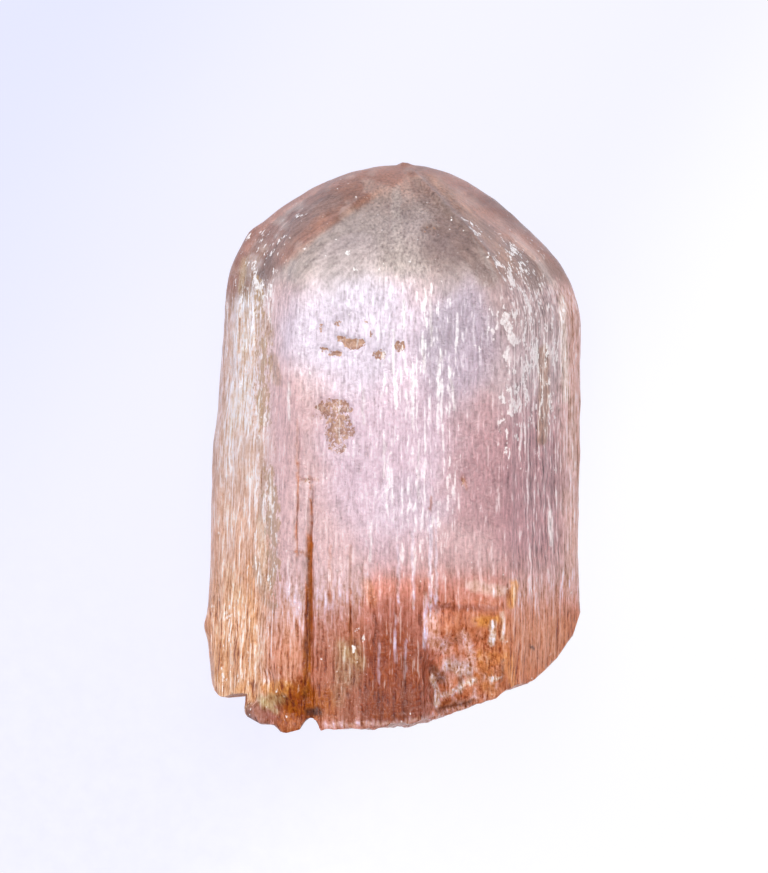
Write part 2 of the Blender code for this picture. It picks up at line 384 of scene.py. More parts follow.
def alongPiece(points):
    # the points at the heights they get once the form is fitted to the node
    bottom, top = crystalForm["ends"]
    low, high = (corner[1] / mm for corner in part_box("crystal"))
    moved = points.copy()
    moved[:, 1] = low + (points[:, 1] - bottom) * (high - low) / (top - bottom)
    return moved


def carve(points, turn, heights):
    form = crystalForm
    origin = np.stack([np.full_like(heights, form["axisX"]), heights,
                       np.full_like(heights, form["axisZ"])], -1)
    ray = points - origin
    ray /= np.linalg.norm(ray, axis=1)[:, None]
    fromAxis = np.hypot(points[:, 0] - form["axisX"], points[:, 2] - form["axisZ"])
    push = (ridgeRelief(turn, points[:, 1]) + unevenness(points)) * smoothStep(0.0, 0.8, fromAxis)
    places = alongPiece(points)
    push += lumpHeight(points) + crestHeight(places)
    push -= grooveDepth(places) + pitDepth(places)
    push -= hollowDepth(places, damage["spall"]) + hollowDepth(places, damage["raggedHollow"])
    return points + ray * push[:, None]


def rimHeight(turn):
    # where each column meets the broken base
    height = np.full_like(turn, crystalForm["rimGuess"])
    for _ in range(crystalForm["rimRounds"]):
        points = carve(surfacePoint(turn, height, np.zeros_like(turn)), turn, height)
        height = (height + baseHeight(points[:, 0], points[:, 2])) / 2
    return height


def shapeCrystal(ring, turn):
    form = crystalForm
    columnTurns, column = np.unique(np.round(turn, 6), return_inverse=True)
    rim = rimHeight(columnTurns)[column]
    along = np.clip((ring - form["baseRings"]) / form["sideRings"], 0.0, 1.0)
    heights = rim + (form["domeStart"] - rim) * along
    rise = np.clip((ring - form["baseRings"] - form["sideRings"]) / form["domeRings"], 0.0, 1.0)
    rise = rise * math.pi / 2
    points = carve(surfacePoint(turn, heights, rise), turn, heights)

    inward = np.clip(ring / form["baseRings"], 0.0, 1.0)
    baseX = form["axisX"] + (points[:, 0] - form["axisX"]) * inward
    baseZ = form["axisZ"] + (points[:, 2] - form["axisZ"]) * inward
    base = np.stack([baseX, baseHeight(baseX, baseZ), baseZ], -1)
    onBase = ring < form["baseRings"]
    points = np.where(onBase[:, None], base, points)

    # the overhanging lump
    x, top, middle, bottom, reach, shift = brokenBase["overhang"]
    near = np.exp(-((points[:, 0] - x) / reach) ** 2)
    near *= smoothStep(top, middle, points[:, 1]) * smoothStep(bottom, middle, points[:, 1])
    points[:, 0] -= shift * near
    return points, onBase


def fitToNode(points, node):
    # the CAD crystal's box gives the size and the place
    low, high = (np.array(corner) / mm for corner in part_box(node))
    size = high - low
    size[2] += crystalForm["restCut"]
    scale = size / (points.max(axis=0) - points.min(axis=0))
    fitted = (points - points.min(axis=0)) * scale + low
    fitted[:, 2] -= crystalForm["restCut"]
    fitted[:, 2] = np.maximum(fitted[:, 2], low[2])
    return fitted


# Linear colours the crystal is painted with
crystalColours = {
    "pink": (0.87, 0.61, 0.59),
    "lilac": (0.94, 0.77, 0.89),
    # pearl gives the painted sheen on the upper front and painted highlights in some strokes
    "pearl": (0.85, 0.775, 0.9),
    "dove": (0.62, 0.52, 0.52),
    "dusk": (0.54, 0.47, 0.56),
    "mauve": (0.505, 0.27, 0.285),
    "rose": (0.96, 0.62, 0.54),
    "paleTan": (1.0, 0.88, 0.78),
    "apricot": (1.0, 0.53, 0.25),
    "greyBeige": (0.465, 0.39, 0.355),
    "umber": (0.24, 0.155, 0.13),
    "fawn": (0.39, 0.215, 0.14),
    "russet": (0.355, 0.152, 0.092),
    "terracotta": (0.8, 0.42, 0.31),
    "salmon": (0.74, 0.25, 0.155),
    "chestnut": (0.52, 0.17, 0.075),
    "maroon": (0.3, 0.052, 0.008),
    "sienna": (0.68, 0.21, 0.075),
    "ochre": (0.4, 0.085, 0.002),
    "olive": (0.38, 0.21, 0.1),
    "straw": (0.66, 0.5, 0.22),
    "plum": (0.38, 0.12, 0.08),
    "orange": (0.8, 0.32, 0.06),
    "crack": (0.4, 0.095, 0.004),
    "blackBrown": (0.08, 0.02, 0.01),
    # white is the colour of painted glints and highlights
    "white": (1.0, 0.97, 0.95),
}

# Washes on the side that faces up, in order: colour, share, middle x and y, half width and
# half height, raggedness
washes = (
    ("lilac", 0.95, 0.0, 0.7, 2.1, 4.6, 0.5),
    # the pearl wash over the upper front is a painted sheen: the soft light above reflected in the etched
    # face
    ("pearl", 1.0, -1.0, 2.85, 2.1, 2.05, 0.4),
    ("dove", 0.9, 3.1, 2.6, 1.7, 2.8, 0.5),
    ("dusk", 1.0, 1.55, 2.6, 1.2, 2.2, 0.4),
    ("mauve", 1.0, 3.35, -1.0, 2.5, 2.7, 0.7),
    ("mauve", 0.5, 1.9, -0.6, 1.0, 1.9, 0.7),
    ("pearl", 0.5, 0.6, -1.6, 1.0, 0.9, 0.7),
    ("fawn", 0.35, 3.1, 3.4, 1.2, 0.9, 0.7),
)
domeWashes = (
    ("umber", 0.65, 1.35, 5.0, 1.0, 1.2, 0.6),
    ("umber", 0.25, 0.1, 6.0, 0.9, 0.6, 0.6),
    ("dove", 0.6, -1.2, 4.55, 1.2, 0.6, 0.6),
    ("straw", 0.25, -3.6, 4.6, 0.6, 0.8, 0.9),
)
stains = (
    ("orange", 0.2, 3.4, -4.6, 1.4, 1.4, 0.6),
    ("paleTan", 0.1, 3.6, -4.4, 0.9, 1.2, 0.6),
    ("apricot", 0.4, -2.8, -4.9, 0.9, 1.8, 0.6),
    ("chestnut", 0.84, -1.25, -5.4, 1.1, 2.0, 0.5),
    ("maroon", 1.0, 0.05, -5.75, 1.15, 2.4, 0.4),
    ("ochre", 1.0, -2.3, -6.35, 1.1, 0.75, 0.3),
    ("olive", 0.6, -1.05, -5.3, 0.5, 0.85, 0.6),
    ("plum", 0.88, -3.25, -6.62, 0.65, 0.5, 0.2),
    ("chestnut", 1.0, -2.45, -6.9, 0.4, 0.3, 0.1),
    ("ochre", 1.0, -2.5, -6.88, 0.45, 0.35, 0.2),
    ("straw", 0.5, -2.95, -6.35, 0.32, 0.2, 0.6),
    ("orange", 0.75, 2.25, -4.25, 0.4, 0.2, 0.6),
    ("orange", 0.4, 2.3, -5.6, 0.4, 0.7, 0.6),
    ("ochre", 0.6, 1.1, -5.6, 0.3, 0.3, 0.6),
    ("dove", 0.35, 1.5, -5.45, 0.36, 0.36, 0.6),
    ("blackBrown", 0.95, -1.85, -6.52, 0.17, 0.14, 0.2),
    ("crack", 0.8, 1.45, -6.25, 0.5, 0.13, 0.3),
)
# Strokes of colour, in order: colour, share, half width, then x and y of each point along it
strokes = (
    ("umber", 0.75, 0.271, 0.68, 6.36, 1.1, 5.79, 1.44, 5.35, 1.86, 4.78, 2.3, 4.09),
    ("umber", 0.6, 0.074, 0.75, 6.7, 1.32, 5.99, 1.91, 5.25, 2.5, 4.54),
    ("fawn", 0.7, 0.148, 0.97, 6.66, 1.66, 5.92, 2.26, 5.28, 2.85, 4.54),
    ("umber", 0.75, 0.197, 2.85, 4.98, 3.29, 4.49, 3.46, 3.94),
    ("paleTan", 0.35, 0.099, 2.99, 5.15, 3.54, 4.58, 3.96, 3.89),
    ("umber", 0.7, 0.148, 0.8, 5.32, 1.17, 5.2),
    ("russet", 0.45, 0.148, -0.41, 6.26, -1.1, 5.79, -1.71, 5.35, -2.6, 4.56, -3.09, 4.09),
    ("umber", 0.65, 0.222, -1.39, 6.06, -2.03, 5.72, -2.53, 5.18),
    ("umber", 0.55, 0.173, -2.7, 4.91, -3.19, 4.19),
    ("terracotta", 0.6, 0.123, -1.84, 6.41, -2.48, 5.94, -3.22, 5.45, -3.61, 4.83),
    ("straw", 0.45, 0.099, -3.61, 4.54, -3.69, 3.85), ("greyBeige", 0.6, 0.123, 0.09, 6.31, 0.14, 4.83),
    ("umber", 0.4, 0.099, -2.99, 4.63, -3.19, 3.6), ("umber", 0.35, 0.074, -3.51, 4.54, -3.59, 3.85),
    ("terracotta", 0.4, 0.173, 1.71, 6.11, 2.65, 5.42, 3.51, 4.68),
    ("fawn", 0.85, 0.16, 3.66, 2.32, 3.69, 1.13, 3.64, 0.15),
    ("paleTan", 0.6, 0.099, 4.15, 3.6, 4.23, 1.13), ("fawn", 0.5, 0.074, 4.38, 1.13, 4.45, -0.59),
    # the white and pearl strokes in this table are painted highlights along the striations
    ("white", 0.65, 0.044, 0.28, 3.6, 0.28, 2.86), ("white", 0.6, 0.039, 0.73, 2.66, 0.78, 1.82),
    ("white", 0.55, 0.039, 1.17, 2.32, 1.1, 1.26), ("white", 0.6, 0.039, 1.39, 1.87, 1.49, 0.89),
    ("white", 0.6, 0.039, -2.5, 1.5, -2.5, 0.64), ("crack", 0.8, 0.044, -2.35, -2.61, -2.06, -2.61),
    ("crack", 0.7, 0.035, -2.28, -0.42, -2.28, -1.58),
    ("crack", 0.45, 0.037, -1.49, -2.44, -1.52, -3.75), ("crack", 0.8, 0.044, -1.54, -3.6, -1.52, -3.7),
    ("crack", 0.45, 0.039, -1, -2.44, -1.02, -3.6), ("crack", 0.45, 0.03, -2.3, 0.64, -2.3, -2.71),
    ("crack", 0.5, 0.039, -2.21, -0.79, -1.79, -0.79), ("crack", 0.75, 0.039, 0.95, -1.23, 0.92, -1.55),
    ("crack", 0.55, 0.054, 1.69, -0.74, 1.79, -1.01), ("pearl", 0.7, 0.044, 0.92, -1.7, 0.92, -4.24),
    ("pearl", 0.6, 0.035, 1.05, -1.82, 1.07, -4.09), ("pearl", 0.55, 0.039, 0.48, -2.07, 0.51, -3.94),
    ("pearl", 0.5, 0.039, 0.14, -2.44, 0.16, -3.8), ("white", 0.55, 0.035, -0.51, -1.82, -0.53, -2.81),
    ("white", 0.5, 0.032, 0.04, 2.86, 0.01, 1.82), ("white", 0.55, 0.032, 0.46, 1.68, 0.48, 0.39),
    ("white", 0.5, 0.032, 0.92, 3.6, 0.95, 2.46), ("white", 0.5, 0.032, -0.18, 0.35, -0.18, -0.74),
    ("white", 0.45, 0.032, 0.63, 0.15, 0.63, -1.33), ("white", 0.45, 0.032, -0.7, 1.38, -0.7, 0.54),
    ("white", 0.65, 0.054, 3.83, -1.58, 3.86, -2.44),
    ("mauve", 0.6, 0.296, 2.77, 0.02, 3.39, -0.59, 4.13, -0.84),
    ("olive", 0.6, 0.148, -3.07, 3.06, -2.97, 2.71), ("olive", 0.6, 0.148, -2.9, 2.12, -2.8, 1.58),
    ("straw", 0.3, 0.074, -3.22, 1.26, -3.19, 0.39),
    ("olive", 0.5, 0.074, -3.22, 0.15, -3.12, -0.59, -3.22, -1.82),
    ("straw", 0.3, 0.123, -3.19, -1.82, -3.12, -2.81, -3.02, -3.5),
    ("olive", 0.55, 0.123, -3.32, -2.81, -3.07, -3.8, -2.87, -3.94),
    ("orange", 0.45, 0.074, -3.44, -2.81, -3.36, -4.78),
    ("crack", 0.85, 0.025, -1.94, -0.89, -1.96, -1.82),
    ("crack", 0.95, 0.047, -1.96, -1.82, -2.01, -3.3), ("crack", 0.9, 0.074, -1.96, -2.44, -2, -3.3),
    ("crack", 0.98, 0.104, -2, -3.3, -2.05, -6.01), ("blackBrown", 0.65, 0.044, -2.05, -3.55, -2.1, -5.15),
    ("crack", 0.75, 0.039, -1.02, -3.55, -1.02, -4.83),
    ("crack", 0.55, 0.044, -1.49, -3.3, -1.49, -3.89),
    ("olive", 0.45, 0.222, -1, -4.93, -1.17, -5.47, -1.34, -6.16),
    ("straw", 0.25, 0.099, -1.24, -4.78, -1.15, -5.15), ("straw", 0.28, 0.148, -1, -5.03, -0.75, -5.32),
    ("ochre", 0.7, 0.173, -2.28, -5.77, -2.13, -6.41),
    ("ochre", 0.6, 0.148, -1.54, -6.01, -1.42, -6.56),
    ("orange", 0.7, 0.173, -3.02, -5.92, -2.58, -5.87),
    ("orange", 0.55, 0.123, -3.76, -5.97, -3.41, -5.87),
    ("orange", 0.45, 0.099, -4.3, -4.78, -4.25, -5.77),
    ("straw", 0.45, 0.086, -3.19, -6.16, -3.02, -6.36, -2.8, -6.48),
    ("maroon", 0.7, 0.049, -3.36, -6.09, -3.29, -5.87, -3.44, -5.82),
    # painted shade: the dark stroke in the slit under the overhanging lump
    ("blackBrown", 0.45, 0.054, -3.49, -6.16, -3.54, -6.46, -3.41, -6.7, -3.02, -6.8),
    ("maroon", 0.6, 0.049, -2.75, -6.9, -2.75, -6.66),
    ("chestnut", 0.6, 0.123, -2.58, -6.85, -2.33, -6.8),
    ("blackBrown", 0.95, 0.111, -2.01, -6.48, -1.79, -6.51),
    ("maroon", 0.7, 0.074, -2.21, -6.61, -1.98, -6.66),
    ("maroon", 0.7, 0.086, -0.51, -4.78, -0.46, -6.63),
    ("maroon", 0.75, 0.099, -0.16, -4.41, -0.11, -6.75), ("blackBrown", 0.4, 0.074, 0.28, -5.15, 0.26, -6.56),
    ("maroon", 0.65, 0.099, 0.58, -5.28, 0.6, -6.26), ("maroon", 0.6, 0.074, -1, -6.01, -0.97, -6.7),
    ("maroon", 0.6, 0.086, 0.95, -5.28, 1, -6.41), ("maroon", 0.5, 0.074, 0.18, -6.01, 0.21, -6.75),
    ("pearl", 0.3, 0.032, 0.06, -4.09, 0.09, -5.28), ("pearl", 0.3, 0.03, 0.33, -4.78, 0.31, -5.67),
    ("pearl", 0.25, 0.03, -0.33, -4.78, -0.31, -5.77),
    ("rose", 0.55, 0.054, -1.61, -6.8, 0.18, -6.75, 1.17, -6.56, 1.86, -6.34),
    ("pearl", 0.55, 0.054, 0.8, -3.55, 0.78, -4.91), ("pearl", 0.45, 0.039, 1.02, -3.3, 1.02, -3.94),
    ("plum", 0.75, 0.086, 0.97, -3.94, 1.81, -3.92, 2.5, -3.97),
    ("rose", 0.6, 0.197, 0.92, -4.24, 1.02, -4.78, 1.27, -4.93),
    ("rose", 0.65, 0.123, 1.71, -4.58, 1.91, -5.03, 1.81, -5.47),
    ("chestnut", 0.6, 0.086, 1.57, -4.09, 1.59, -4.78),
    ("orange", 0.8, 0.099, 2.13, -4.29, 2.55, -4.22), ("white", 0.75, 0.084, 2.43, -4.36, 2.4, -4.78),
    ("paleTan", 0.65, 0.059, 2.65, -4.09, 2.67, -4.78), ("orange", 0.4, 0.173, 2.18, -5.15, 2.5, -5.18),
    ("dove", 0.6, 0.173, 1.37, -5.35, 1.81, -5.47), ("umber", 0.6, 0.111, 1, -5.47, 1.2, -5.72),
    ("umber", 0.7, 0.074, 1.66, -5.62, 1.66, -5.97),
    ("paleTan", 0.6, 0.074, 0.97, -5.67, 1.1, -6.01, 1.05, -6.31),
    ("paleTan", 0.5, 0.074, 1.17, -6.11, 1.57, -5.97, 1.91, -5.67),
    ("blackBrown", 0.75, 0.054, 1.1, -6.46, 1.47, -6.36, 1.91, -6.21),
    ("blackBrown", 0.65, 0.044, 2.66, -5.23, 2.67, -5.69), ("paleTan", 0.75, 0.074, 2.4, -5.72, 2.53, -5.67),
    ("paleTan", 0.75, 0.074, 1.86, -5.77, 2.01, -5.74),
    ("orange", 0.9, 0.123, 2.95, -3.38, 2.87, -3.85), ("blackBrown", 0.95, 0.054, 3.36, -4.93, 3.39, -4.95),
    ("chestnut", 0.85, 0.059, 4.03, -4.09, 4.03, -4.54),
    ("orange", 0.45, 0.123, 2.8, -5.15, 2.9, -5.77), ("salmon", 0.35, 0.222, -0.55, -3.45, 0.92, -3.4),
    ("orange", 0.3, 0.148, -0.6, -3.35, -0.51, -3.8), ("paleTan", 0.45, 0.148, 1.91, -3.4, 2.65, -3.55),
)
# White glints: share, half width, then x and y of each point
glints = (
    (0.85, 0.086, -2.38, 5.57, -2.26, 5.64), (0.6, 0.074, -3.19, 5.18, -3.12, 5.3),
    (0.75, 0.074, -0.8, 4.39, -0.7, 4.44), (0.65, 0.062, -1.07, 4.68, -1, 4.76),
    (0.6, 0.123, 1.91, 5.47, 2.11, 5.13), (0.75, 0.086, 2.35, 4.63, 2.58, 4.46),
    (0.7, 0.062, 2.9, 4.76, 2.99, 4.91), (0.8, 0.062, 3.09, 4.17, 3.14, 4.39),
    (0.6, 0.074, 2.77, 4.39, 2.9, 3.94, 2.72, 4.07), (0.8, 0.086, 3.24, 3.6, 3.34, 3.3),
    (0.9, 0.086, -3.24, 5.3, -3.07, 5.08), (0.8, 0.074, -3.36, 4.54, -3.27, 3.85),
    (0.8, 0.074, -2.99, 3.94, -2.97, 3.06), (0.7, 0.074, -3.69, 3.94, -3.73, 3.16),
    (0.7, 0.099, 2.72, 3.16, 2.85, 2.76, 2.95, 2.51), (0.8, 0.099, 2.77, 2.37, 2.7, 2.07, 2.9, 1.82),
    (0.85, 0.086, 3.44, 2.66, 3.51, 2.32, 3.46, 1.97), (0.6, 0.074, 2.97, 3.16, 3.04, 3.3),
    (0.6, 0.074, 2.58, 1.18, 2.77, 1.04), (0.5, 0.062, 1.69, 1.21, 1.86, 1.31),
    (0.7, 0.099, 2.85, 0.79, 2.99, 1.01), (0.75, 0.074, 3.96, 2.49, 3.96, 2.07),
    (0.6, 0.074, -3.02, -3.18, -2.87, -3.6), (0.6, 0.074, -0.83, -4.44, -0.73, -4.68),
    (0.55, 0.074, -1.1, -5.03, -0.92, -4.91), (0.8, 0.074, -1.29, -5.47, -1.22, -5.67),
    (0.65, 0.062, -4.13, -5.67, -4.1, -5.97), (0.6, 0.099, -4.01, -3.8, -3.93, -4.91),
    (0.5, 0.074, -3.86, -5.03, -3.86, -5.32), (0.6, 0.062, 2.85, -3.94, 2.95, -3.89),
)

# Zones of the crystal, each from where it begins to where it is full
zones = {
    # by height over the sheet
    "front": (3.5, 4.7), "upward": (3.0, 4.0), "rimSide": (5.5, 4.2),
    # across
    "leftFlank": (-2.65, -3.45), "rightFlank": (3.9, 4.45), "rightSide": (2.2, 3.6),
    "stainLeft": (-1.0, -0.4), "stainRight": (3.4, 2.5), "stainRise": (2.6, 3.4),
    "softRight": (2.2, 3.2), "softLeft": (-0.6, -1.6), "salmonLeft": (-3.2, -2.8),
    "siennaLeft": (0.6, 1.4),
    # along
    "warmFlank": (2.0, -4.5), "warmEnd": (-2.6, -4.2), "lower": (-2.4, -4.6),
    "prism": (4.6, 3.6), "dome": (3.5, 4.55), "facetFoot": (3.7, 4.3),
    "facetGlints": (6.0, 5.3), "rimFoot": (3.9, 5.2), "tip": (6.1, 6.85),
    "stripFoot": (-4.8, -3.4), "stripTop": (4.6, 3.8), "whiteFoot": (-6.4, -5.8),
    # across an edge between facets, and down from the top of the stain
    "leftFacet": (-0.12, 0.22), "rightFacet": (-0.05, 0.12), "veil": (-1.1, -0.3),
    "deepStain": (0.3, 1.2),
    # by depth, or by the height of a noise
    "groove": (0.012, 0.06), "deepGroove": (0.09, 0.14), "spallEdge": (0.0, 0.2),
    "spallInside": (0.0, 0.3), "spallShells": (0.42, 0.75), "patches": (0.05, 0.6),
    "baseShells": (0.35, 0.75), "baseStain": (0.0, 0.6), "stroke": (0.15, 0.75),
}
# Oval zones: middle x and y, half width, half height
ovals = {
    "rightGlints": (3.2, 2.2, 1.2, 3.4),
    "shoulderGlints": (-3.2, 4.6, 1.0, 1.8),
    "leftBlotches": (-3.4, 4.6, 1.4, 2.4),
    "rightBlotches": (2.4, 2.6, 2.4, 3.4),
    "centre": (0.7, 0.6, 1.3, 5.2),
    "sheen": (-0.8, 3.0, 3.2, 2.6),
    "ochreEnd": (-2.6, -6.5, 1.4, 1.0),
    "lowCentre": (0.1, -5.6, 1.2, 2.0),
}
# Coats of colour over whole zones, in order: colour, share, zone
coats = {
    "flanks": (
        ("paleTan", 0.9, "leftFlank"), ("apricot", 0.95, "warmFlank"),
        ("rose", 0.95, "rightFlank"), ("greyBeige", 1.0, "dome"),
    ),
    "dome": (
        ("russet", 0.82, "leftFacet"), ("paleTan", 0.35, "leftFacetPatches"),
        # the colour on the tip and on the rim is painted shade, reddish brown where the dome turns away
        # from above
        ("fawn", 0.88, "rightFacet"), ("terracotta", 0.9, "tip"),
        ("russet", 0.5, "rim"), ("paleTan", 0.25, "rimPatches"),
    ),
    "stain": (("mauve", 0.3, "veil"), ("salmon", 0.92, "stain"), ("sienna", 0.9, "deepStain")),
    "base": (
        ("rose", 0.5, "spallShells"), ("sienna", 0.5, "base"),
        ("rose", 0.6, "baseShells"), ("chestnut", 0.5, "baseStain"),
    ),
    # the grooves get darker where they are deepest
    "edges": (
        # the sienna, umber and chestnut on domeRim and prismRim are painted shade along the outline seen
        # from above
        ("crack", 0.95, "groove"), ("blackBrown", 0.45, "deepGroove"), ("sienna", 0.35, "domeRim"),
        ("umber", 0.25, "domeRim"), ("chestnut", 0.16, "prismRim"),
    ),
}
# What each zone adds to the texture and to the painted glints
zoneShares = {
    "threads": {"all": 0.5, "lower": 0.5, "leftFlank": 0.1, "rightSide": 0.3},
    "streaks": {"all": 0.2, "lower": 1.0, "leftFlank": 0.5, "rightSide": 0.7},
    "grain": {"all": 0.34, "dome": 0.1, "spallEdge": 0.5, "strip": 0.6, "lower": 0.2},
    "glintFlecks": {"all": 0.1, "rightGlints": 0.8, "facetGlints": 0.3, "flankGlints": 0.35,
               "shoulderGlints": 0.55},
    "glintThreads": {"all": 0.28, "centre": 0.45, "leftFlank": 0.32, "rightSide": 0.28, "lower": 0.1},
    "frost": {"all": 0.32, "sheen": 0.28, "dome": 0.18, "lower": 0.16, "leftFlank": 0.14,
              "rightFlank": 0.12},
    "gloss": {"all": 0.5, "lower": -0.3, "ochreEnd": -0.14, "lowCentre": -0.12},
    "warmth": {"all": 0.15, "leftFlank": 1.0, "rightFlank": 0.6, "warmEnd": 1.0},
}
markings = {
    "frontWander": 0.5,  # how far the edges of washes wander, against their raggedness
    "stainWander": 0.3,
    "sideWander": 0.6,  # how far the dome's and the stain's edges wander on the sides
    "stainTop": -4.1,
    "etchedLine": (-3.02, -0.03, 0.27),  # x at mid-length, slant, half width
    "outlineShade": (0.1, 0.2, 0.22),  # how far the edges seen from above are darkened
    "fullPit": 0.06,  # a pit this deep has its full colour
    "stainFrost": 0.85,
    "glintShare": 1.1,
    # the white marks are the painted glints
    "rearMarks": 0.7,  # share of the white marks that the sides and the rear keep
}


def paintOver(colour, name, mask):
    return colour + (np.array(crystalColours[name]) - colour) * mask[:, None]


def softOval(x, y, middleX, middleY, halfWidth, halfHeight):
    away = ((x - middleX) / halfWidth) ** 2 + ((y - middleY) / halfHeight) ** 2
    return 1.0 - smoothStep(0.15, 1.0, away)


def zone(name, value):
    return smoothStep(*zones[name], value)


def findMasks(points, onBase, wanderX, wanderY, fray):
    # how far each point lies in each zone, from 0 to 1
    x, y, z = points.T
    mask = {name: softOval(x, y, *oval) for name, oval in ovals.items()}
    mask.update(all=np.ones(len(points)), base=onBase * 1.0)

    def add(name, value, share=1.0):
        mask[name] = share * zone(name, value)

    add("front", z)
    add("upward", z)
    add("rightSide", x)
    for name in ("lower", "prism", "warmEnd"):
        add(name, y)
    mask["sheen"] *= mask["front"]
    mask["ochreEnd"] *= mask["upward"]
    aside = markings["sideWander"] * (1.0 - mask["front"]) * wanderY

    # the flanks and the dome
    add("leftFlank", x + 0.12 * wanderX)
    add("warmFlank", y + 0.6 * wanderY, mask["leftFlank"])
    add("rightFlank", x + 0.1 * wanderX)
    mask["flankGlints"] = mask["leftFlank"] * mask["prism"]
    add("dome", y + 0.22 * wanderY + 0.12 * fray + aside)
    patches = zone("patches", fractalNoise(x * 3.0 + y * 2.0, y * 3.0 - x, 111))
    facetX = -0.185 - 1.325 * (6.31 - y)
    add("leftFacet", facetX - x + 0.1 * wanderX, mask["dome"])
    mask["leftFacetPatches"] = mask["leftFacet"] * patches
    ridgeX = 0.555 + 0.739 * (6.68 - y) + 0.12 * (6.68 - y) * (y - 3.845)
    add("rightFacet", x - ridgeX, zone("facetFoot", y))
    add("facetGlints", y, mask["rightFacet"])
    add("tip", y + 0.2 * wanderY)
    mask["rim"] = zone("rimSide", z) * zone("rimFoot", y)
    mask["rimPatches"] = mask["rim"] * patches
    # a band along the widest outline seen from above, where the surface turns away; it carries painted
    # shade
    rimLine = np.exp(-((z - 3.5) / 0.35) ** 2)
    mask["domeRim"] = rimLine * mask["dome"]
    mask["prismRim"] = rimLine * (1.0 - mask["dome"])
    mask["outline"] = np.exp(-((z - 3.2) / 0.55) ** 2) * (1.0 - 0.7 * mask["tip"])

    # the iron-stained lower end
    between = zone("stainLeft", x + 0.1 * wanderX) * zone("stainRight", x + 0.2 * wanderX)
    top = markings["stainTop"] + between + 0.75 * zone("stainRise", x)
    depth = top - y + 0.09 * fray + 0.08 * wanderY + aside
    softness = 0.25 + 0.7 * zone("softRight", x) + 0.6 * zone("softLeft", x)
    add("veil", depth, between)
    mask["stain"] = smoothStep(-0.3 - 0.3 * softness, 0.25 + softness, depth) * zone("salmonLeft", x)
    add("deepStain", depth, zone("siennaLeft", x))
    add("baseShells", baseShells(x, z), onBase)
    add("baseStain", fractalNoise(x * 1.1, z * 1.3, 131), onBase)

    # damage
    groove = grooveDepth(points)
    add("groove", groove)
    add("deepGroove", groove)
    inSpall = hollowInside(points, damage["spall"])
    add("spallEdge", inSpall)
    add("spallInside", inSpall)
    add("spallShells", shellNoise(x * 5.5, y * 4.0, 25) * smoothStep(0.05, 0.3, inSpall))
    lineX, slant, halfWidth = markings["etchedLine"]
    strip = np.exp(-((x - slant * y - lineX + 0.1 * wanderX) / halfWidth) ** 2)
    strip *= zone("stripFoot", y) * zone("stripTop", y) * mask["front"]
    mask["strip"] = strip * np.clip(0.75 + 0.5 * wanderY, 0.0, 1.0)
    return mask


def paintWashes(colour, rows, x, y, wanderX, wanderY, shown):
    for name, share, middleX, middleY, halfWidth, halfHeight, ragged in rows:
        raggedX, raggedY = x + ragged * wanderX, y + ragged * wanderY
        oval = softOval(raggedX, raggedY, middleX, middleY, halfWidth, halfHeight)
        colour = paintOver(colour, name, share * shown * oval)
    return colour


def paintCoats(colour, stage, mask):
    for name, share, place in coats[stage]:
        colour = paintOver(colour, name, share * mask[place])
    return colour


def paintStrokes(colour, x, y, shown):
    # the strokes' colour, and how far each point is stained or glints
    stained, glinting = np.zeros(len(x)), np.zeros(len(x))
    raggedX = x + 0.03 * latticeNoise(x * 9, y * 7, 92)
    raggedY = y + 0.05 * latticeNoise(x * 11, y * 8, 93)
    for name, share, halfWidth, *line in strokes:
        near = share * shown * zone("stroke", nearLine(raggedX, raggedY, halfWidth, line))
        colour = paintOver(colour, name, near)
        stained = np.maximum(stained, near)
    for share, halfWidth, *line in glints:
        near = share * shown * zone("stroke", nearLine(raggedX, raggedY, halfWidth, line))
        glinting = np.maximum(glinting, near)
    return colour, stained, glinting


